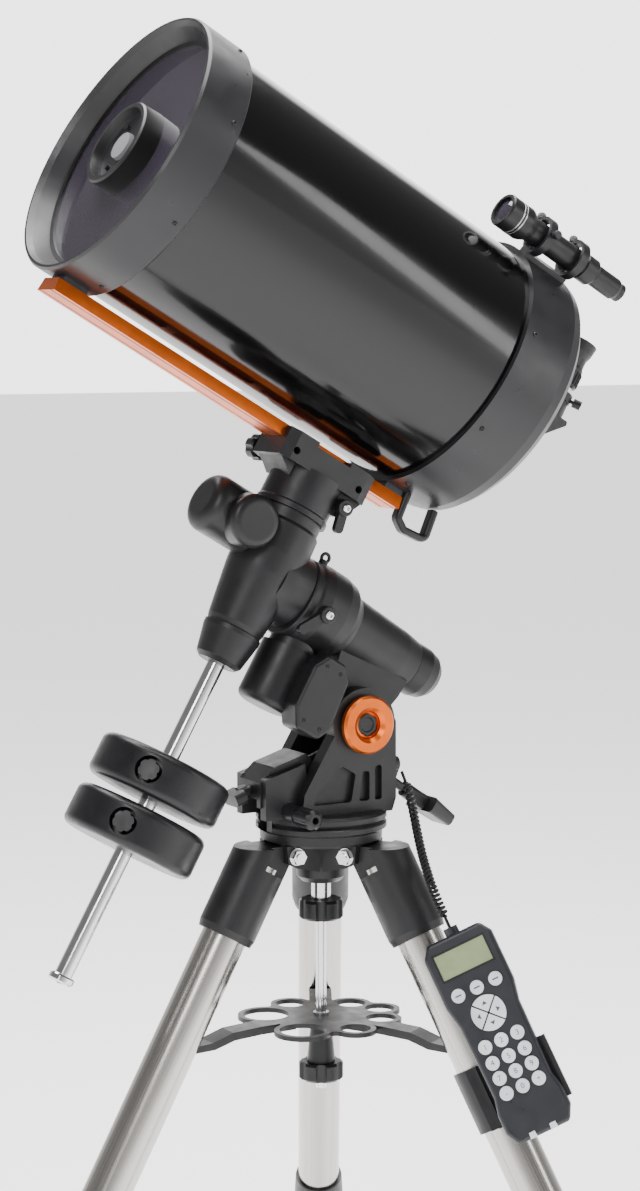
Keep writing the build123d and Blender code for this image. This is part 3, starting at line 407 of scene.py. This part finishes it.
def make(name, shape, material, body):
    """Turns a built shape into a piece that rides on a body."""
    bmesh.ops.recalc_face_normals(shape, faces=shape.faces)
    mesh = bpy.data.meshes.new(name)
    shape.to_mesh(mesh)
    shape.free()
    mesh.polygons.foreach_set("use_smooth", [True] * len(mesh.polygons))
    mesh.set_sharp_from_angle(angle=radians(32))
    mesh.materials.append(material)
    piece = bpy.data.objects.new(name, mesh)
    scene.collection.objects.link(piece)
    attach(piece, body)
    return piece


def body_of(node):
    return next(name for name, nodes in frame["record"]["behaviour"]["bodies"].items() if node in nodes)


def on_surface(node, start, heading):
    """The place, Z out of the surface, where a ray first meets a CAD node."""
    hit, point, normal, _ = frame["nodes"][node].ray_cast(Vector(start), Vector(heading).normalized())
    if not hit:
        raise RuntimeError(f"no surface of {node} on this line")
    if normal.dot(Vector(heading)) > 0:
        normal = -normal
    side = normal.orthogonal().normalized()
    return frame_matrix(point, side, normal.normalized())


SCREW = [  # a button-head screw with a hexagon socket, of radius 1
    (1.0, -0.5), (1.0, 0.18), (0.92, 0.42), (0.72, 0.6), (0.62, 0.64), (0.52, 0.62, hexagon),
    (0.52, 0.2, hexagon), (0, 0.14),
]


def screws(name, places, radius, material, body):
    """A set of button-head screws standing on the surface at these places."""
    shape = bmesh.new()
    for place in places:
        lathe(shape, place, [(r * radius, h * radius, *form) for r, h, *form in SCREW], steps=36)
    make(name, shape, material, body)


def round_place(place, radius, degrees_round, height=0.0):
    """A point at this radius, angle and height about the Z axis of a place, and the way out to it."""
    angle = radians(degrees_round)
    out = place.to_3x3() @ Vector((cos(angle), sin(angle), 0))
    return place @ Vector((0, 0, height)) + radius * out, out


# ---------------------------------------------------------------- leg tubes, one piece per leg
tube_mesh = frame["nodes"]["leg_tubes"].data
for leg_name, place in LEGS.items():
    shape = bmesh.new()
    shape.from_mesh(tube_mesh)
    inverse = place.inverted()
    astray = [
        v for v in shape.verts if (inverse @ v.co).xy.length > 0.06
    ]
    bmesh.ops.delete(shape, geom=astray, context="VERTS")
    make(f"leg_tube_{leg_name}", shape, steel[leg_name], "tripod")
leg_tube_pieces = [bpy.data.objects[f"leg_tube_{leg_name}"] for leg_name in LEGS]
for piece in leg_tube_pieces:
    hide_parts("leg_tubes")

# ---------------------------------------------------------------- telescope
cell_screws, rear_screws = [], []
for degrees_round in range(15, 375, 45):
    start, out = round_place(TUBE, 0.25, degrees_round, 0.346)
    cell_screws.append(on_surface("front_cell", start, -out))
    start, out = round_place(TUBE, 0.25, degrees_round, -0.096)
    rear_screws.append(on_surface("rear_cell", start, -out))
screws("front_cell_screws", cell_screws, 0.0026, plastic, body_of("front_cell"))
screws("rear_cell_screws", rear_screws, 0.0028, plastic, body_of("rear_cell"))

FINDER_ANGLE, FINDER_DISTANCE = radians(28), 0.187
finder_lean = TUBE.to_3x3() @ Vector((cos(FINDER_ANGLE), -sin(FINDER_ANGLE), 0))
FINDER = frame_matrix(TUBE.translation + FINDER_DISTANCE * finder_lean, finder_lean, POLAR)
telescope = body_of("finder_scope")
shape = bmesh.new()
for height in (-0.0435, -0.0475):
    lathe(shape, FINDER, [
        (0.0204, height - 0.0008), (0.0208, height - 0.0006), (0.0208, height + 0.0006), (0.0204, height + 0.0008),
    ], steps=96)
make("finder_silver_rings", shape, silver, telescope)
shape = bmesh.new()
lathe(shape, FINDER, [(0.0159, -0.0302), (0.0140, -0.0293), (0.0090, -0.0283), (0, -0.0278)])
make("finder_lens", shape, corrector_glass.material, telescope)
shape = bmesh.new()
for height, angles in ((-0.087, (60, 300)), (-0.139, (60,))):
    for degrees_round in angles:
        start, out = round_place(FINDER, 0.0285, degrees_round, height)
        place = frame_matrix(start, POLAR, out)
        lathe(shape, place, [
            (0.0046, 0), (0.0049, 0.0004, knurled), (0.0049, 0.0056, knurled), (0.0044, 0.0062), (0, 0.0064),
        ], steps=144)
make("finder_thumb_screws", shape, plastic, telescope)

EYEPIECE = frame_matrix(TUBE @ Vector((0, 0, -0.250)), POLAR, DECLINATION)
shape = bmesh.new()
lathe(shape, EYEPIECE, [(0.0158, 0.0528), (0.0173, 0.0530), (0.0173, 0.0590), (0.0169, 0.0596)])
make("eyepiece_chrome_band", shape, chrome.material, body_of("eyepiece"))
shape = bmesh.new()
lathe(shape, EYEPIECE, [(0.0196, 0.0640, knurled), (0.0200, 0.0645, knurled), (0.0200, 0.0800, knurled),
                        (0.0196, 0.0806, knurled)], steps=288)
make("eyepiece_rubber_grip", shape, rubber, body_of("eyepiece"))

# ---------------------------------------------------------------- hand control
leg = LEGS["right"].to_3x3()
HAND_TURN = radians(63.7)
leg_x, leg_y = leg.col[0], leg.col[1]
hand_face = leg_x * cos(HAND_TURN) + leg_y * sin(HAND_TURN)
hand_across = leg_x * sin(HAND_TURN) - leg_y * cos(HAND_TURN)
hand_origin = LEGS["right"] @ Vector((0, 0, 0.240)) + hand_across * 0.038 + hand_face * 0.042
HAND = frame_matrix(hand_origin, hand_across, hand_face)
KEY_TOP = 0.0300
LEGENDS = [(x, y) for y in (-0.008, -0.026, -0.043, -0.060) for x in (-0.019, 0, 0.019)]


def marked(shape, text, x, y, size):
    """Adds one raised legend, centred on a point of the hand control's face."""
    letters = bpy.data.curves.new("legend", "FONT")
    letters.body, letters.size, letters.extrude = text, size, 0.00006
    letters.align_x, letters.align_y = "CENTER", "CENTER"
    holder = bpy.data.objects.new("legend", letters)
    mesh = bpy.data.meshes.new_from_object(holder)
    mesh.transform(HAND @ Matrix.Translation((x, y, KEY_TOP)))
    shape.from_mesh(mesh)
    bpy.data.meshes.remove(mesh)
    bpy.data.objects.remove(holder)


shape = bmesh.new()
for text, (x, y) in zip("123456789-0+", LEGENDS):
    marked(shape, text, x, y, 0.0082)
for x in (-0.022, 0, 0.022):
    slab(shape, HAND, [(x - 0.0035, 0.0512), (x + 0.0035, 0.0512), (x + 0.0035, 0.0528), (x - 0.0035, 0.0528)],
         KEY_TOP - 0.0001, KEY_TOP + 0.0001)
make("key_legends", shape, legend_ink, body_of("round_keys"))
shape = bmesh.new()
for degrees_round in (0, 90, 180, 270):
    arrow = HAND @ Matrix.Translation((0, 0.023, 0)) @ Matrix.Rotation(radians(degrees_round), 4, "Z")
    slab(shape, arrow, [(0.0095, -0.0030), (0.0135, 0), (0.0095, 0.0030)], KEY_TOP - 0.0001, KEY_TOP + 0.0001)
make("arrow_marks", shape, legend_ink, body_of("arrow_keys"))

# a raised rim round the display, and the two pale tabs at the foot of the hand control
shape = bmesh.new()
corners = ((-0.0305, 0.0705), (0.0305, 0.0705), (0.0305, 0.1005), (-0.0305, 0.1005))
for (x0, y0), (x1, y1) in zip(corners, corners[1:] + corners[:1]):
    low_x, high_x = min(x0, x1) - 0.0008, max(x0, x1) + 0.0008
    low_y, high_y = min(y0, y1) - 0.0008, max(y0, y1) + 0.0008
    slab(shape, HAND, [(low_x, low_y), (high_x, low_y), (high_x, high_y), (low_x, high_y)], 0.0276, 0.0287, 0.0004)
make("display_rim", shape, plastic, "tripod")
shape = bmesh.new()
for x in (-0.012, 0.012):
    slab(shape, HAND, [(x - 0.004, -0.1130), (x + 0.004, -0.1130), (x + 0.0035, -0.1062), (x - 0.0035, -0.1062)],
         0.0262, 0.0284, 0.0005)
make("hand_control_tabs", shape, keys, "tripod")

# ---------------------------------------------------------------- mount
PIVOT = Vector((0.0292, 0, 0.831))
shape = bmesh.new()
for side in (-1, 1):
    place = on_surface("latitude_caps", PIVOT + Vector((0.010, side * 0.3, 0)), (0, -side, 0))
    centre = Vector((PIVOT.x, place.translation.y, PIVOT.z))
    place = frame_matrix(centre, Vector((1, 0, 0)), Vector((0, side, 0)))
    lathe(shape, place, [
        (0.0135, -0.004, hexagon), (0.0135, 0.0012, hexagon), (0.0125, 0.0018, hexagon), (0.0085, 0.0018),
        (0.0075, 0.0004), (0, 0.0002),
    ], steps=72)
make("latitude_cap_centres", shape, iron, body_of("latitude_caps"))


def corner_places(node, out, axes, inset):
    """Four places near the corners of a node's outermost flat face that looks this way."""
    points = [v.co for v in frame["nodes"][node].data.vertices]
    edge = max(p.dot(out) for p in points)
    face = [p for p in points if p.dot(out) > edge - 0.0004]
    centre = sum(face, Vector()) / len(face)
    for signs in ((1, 1), (1, -1), (-1, -1), (-1, 1)):
        diagonal = signs[0] * axes[0] + signs[1] * axes[1]
        corner = max(face, key=lambda p: p.dot(diagonal))
        yield frame_matrix(corner + (centre - corner).normalized() * inset, axes[0], out)


TO_CAMERA_SIDE = Vector((0, -1, 0))
cover_screws = list(corner_places("ra_motor_cover", TO_CAMERA_SIDE, (DECLINATION, POLAR), 0.0085))
screws("ra_motor_cover_screws", cover_screws, 0.0024, iron, body_of("ra_motor_cover"))
ra_lever = on_surface("ra_clutch_lever", HEAD @ Vector((-0.008, -0.2, -0.068)), -TO_CAMERA_SIDE)
screws("ra_clutch_screw", [ra_lever], 0.0052, chrome.material, body_of("ra_clutch_lever"))
dec_lever = on_surface("dec_clutch_lever", HEAD @ Vector((0.110, -0.2, -0.041)), -TO_CAMERA_SIDE)
screws("dec_clutch_screw", [dec_lever], 0.0052, chrome.material, body_of("dec_clutch_lever"))

# ---------------------------------------------------------------- floor and light
floor_mesh = bpy.data.meshes.new("floor")
shape = bmesh.new()
bmesh.ops.create_grid(shape, x_segments=1, y_segments=1, size=40)
shape.to_mesh(floor_mesh)
shape.free()
floor = bpy.data.objects.new("floor", floor_mesh)
floor.location.z = cad_box[0][2] - 0.0005
scene.collection.objects.link(floor)
floor_paint = Surface("floor_pale", (0.88, 0.88, 0.88), 0.9, Emission_Color=(1, 1, 1, 1), Emission_Strength=1.3)
floor_mesh.materials.append(floor_paint.material)

world = bpy.data.worlds.new("studio")
world.use_nodes = True
# a white sweep behind the telescope and a dimmer room in front of it, seen only as soft reflections
sky = world.node_tree
heading = Vector((sin(CAMERA_TURN), cos(CAMERA_TURN), 0.15)).normalized()
coordinates = sky.nodes.new("ShaderNodeTexCoord")
facing = sky.nodes.new("ShaderNodeVectorMath")
facing.operation = "DOT_PRODUCT"
facing.inputs[1].default_value = heading
sweep = sky.nodes.new("ShaderNodeValToRGB")
for element, level, position in zip(sweep.color_ramp.elements, (0.07, 1.0), (0.94, 0.98)):
    element.color, element.position = (level, level, level, 1), position
ranged = sky.nodes.new("ShaderNodeMapRange")
ranged.inputs["From Min"].default_value = -1
sky.links.new(coordinates.outputs["Generated"], facing.inputs[0])
sky.links.new(facing.outputs["Value"], ranged.inputs["Value"])
sky.links.new(ranged.outputs["Result"], sweep.inputs["Fac"])
height = sky.nodes.new("ShaderNodeSeparateXYZ")
horizon = sky.nodes.new("ShaderNodeMapRange")
for socket, number in zip(("From Min", "From Max", "To Min", "To Max"), (0.10, 0.45, 0.30, 0.0)):
    horizon.inputs[socket].default_value = number
brighter = sky.nodes.new("ShaderNodeMath")
brighter.operation = "MAXIMUM"
sky.links.new(coordinates.outputs["Generated"], height.inputs["Vector"])
sky.links.new(height.outputs["Z"], horizon.inputs["Value"])
sky.links.new(horizon.outputs["Result"], brighter.inputs[0])
sky.links.new(sweep.outputs["Color"], brighter.inputs[1])
sky.links.new(brighter.outputs[0], sky.nodes["Background"].inputs["Color"])
sky.nodes["Background"].inputs["Strength"].default_value = 3.4
scene.world = world


def soft_light(name, place, target, size, power):
    """A rectangular area light aimed at a point."""
    light = bpy.data.lights.new(name, "AREA")
    light.shape = "RECTANGLE"
    light.size, light.size_y = size
    light.energy = power
    lamp = bpy.data.objects.new(name, light)
    lamp.location = place
    lamp.rotation_euler = (Vector(target) - Vector(place)).to_track_quat("-Z", "Y").to_euler()
    scene.collection.objects.link(lamp)


soft_light("key", (-2.6, -2.4, 3.2), (0, 0, 1.0), (1.0, 2.2), 70)
soft_light("fill", (2.2, -2.6, 1.6), (0, 0, 0.8), (0.5, 2.2), 22)
soft_light("top", (0.2, 0.4, 3.6), (0, 0, 1.0), (3.0, 3.0), 300)
